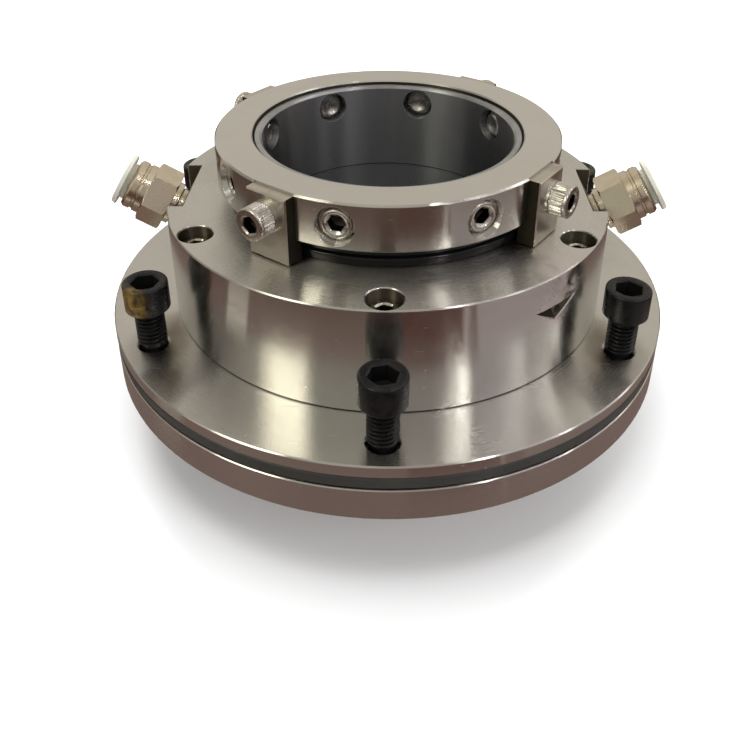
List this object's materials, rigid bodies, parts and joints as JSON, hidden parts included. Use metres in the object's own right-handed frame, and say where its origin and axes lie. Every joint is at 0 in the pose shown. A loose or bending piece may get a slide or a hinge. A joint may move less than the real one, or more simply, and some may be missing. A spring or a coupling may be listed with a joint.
{
  "type": "cartridge mechanical seal",
  "caption": "Cartridge mechanical seal for a rotating shaft: bolted flange and gland, spring-loaded seal faces, sleeve, drive collar, setting clips and quench fittings.",
  "frame": {"origin": "centre of the spigot's lower annular face, on the shaft axis", "axes": "+Z along the shaft axis, away from the pump; the two tube fittings lie towards -X and +X"},
  "size_m": [0.195, 0.195, 0.1047],
  "materials": {
    "flange_steel": "fine turned, lightly oiled",
    "gland_steel": "fine turned",
    "sleeve_steel": "fine bored and turned",
    "collar_steel": "fine turned",
    "clip_steel": "brushed",
    "inner_steel": "turned",
    "stainless_screw": "bright",
    "clip_screw_steel": "bright, knurled head",
    "set_screw_steel": "bright",
    "spring_alloy": "drawn wire",
    "black_screw": "black oxide",
    "nickel_plate": "nickel plated brass",
    "collar_plastic": "ivory acetal",
    "o_ring_rubber": "fluoroelastomer",
    "dust_rubber": "smooth black",
    "carbon": "machined carbon graphite",
    "silicon_carbide": "lapped"
  },
  "bodies": {
    "stator": {"flange_plate": "flange_steel", "flange_o_ring": "o_ring_rubber", "flange_screws": "black_screw", "gland_body": "gland_steel", "gland_o_ring": "o_ring_rubber", "gland_screws": "stainless_screw", "index_pin": "stainless_screw", "spring_holder": "inner_steel", "holder_o_ring": "o_ring_rubber", "anti_rotation_pins": "inner_steel", "face_springs": "spring_alloy", "throttle_bushing": "carbon", "bushing_retaining_ring": "spring_alloy", "left_fitting_body": "nickel_plate", "left_grip_ring": "spring_alloy", "left_tube_seal": "o_ring_rubber", "right_fitting_body": "nickel_plate", "right_grip_ring": "spring_alloy", "right_tube_seal": "o_ring_rubber"},
    "rotor": {"sleeve": "sleeve_steel", "shaft_o_ring": "o_ring_rubber", "rotating_face": "silicon_carbide", "rotating_face_o_ring": "o_ring_rubber", "drive_pins": "inner_steel", "drive_collar": "collar_steel", "dust_ring": "dust_rubber", "set_screws": "set_screw_steel", "clip_screws": "clip_screw_steel", "clip_spring_washers": "clip_screw_steel", "setting_clip_1": "clip_steel", "setting_clip_2": "clip_steel", "setting_clip_3": "clip_steel", "setting_clip_4": "clip_steel"},
    "floating_face": {"stationary_face": "silicon_carbide", "stationary_face_o_ring": "o_ring_rubber", "thrust_ring": "inner_steel"},
    "left_release": {"left_release_collar": "collar_plastic"},
    "right_release": {"right_release_collar": "collar_plastic"}
  },
  "joints": [
    {"name": "rotor_spin", "type": "hinge", "parent": "stator", "child": "rotor", "pos_m": [0, 0, 0], "axis": [0, 0, 1], "continuous": true},
    {"name": "seal_face_float", "type": "slide", "parent": "stator", "child": "floating_face", "axis": [0, 0, 1], "range_m": [0, 0.0015], "stiffness_N_per_m": 8000, "springref_m": -0.003, "deforming": ["face_springs"]},
    {"name": "left_release_push", "type": "slide", "parent": "stator", "child": "left_release", "axis": [0.866, 0, -0.5], "range_m": [0, 0.0012], "stiffness_N_per_m": 800, "springref_m": -0.001},
    {"name": "right_release_push", "type": "slide", "parent": "stator", "child": "right_release", "axis": [-0.866, 0, -0.5], "range_m": [0, 0.0012], "stiffness_N_per_m": 800, "springref_m": -0.001}
  ]
}
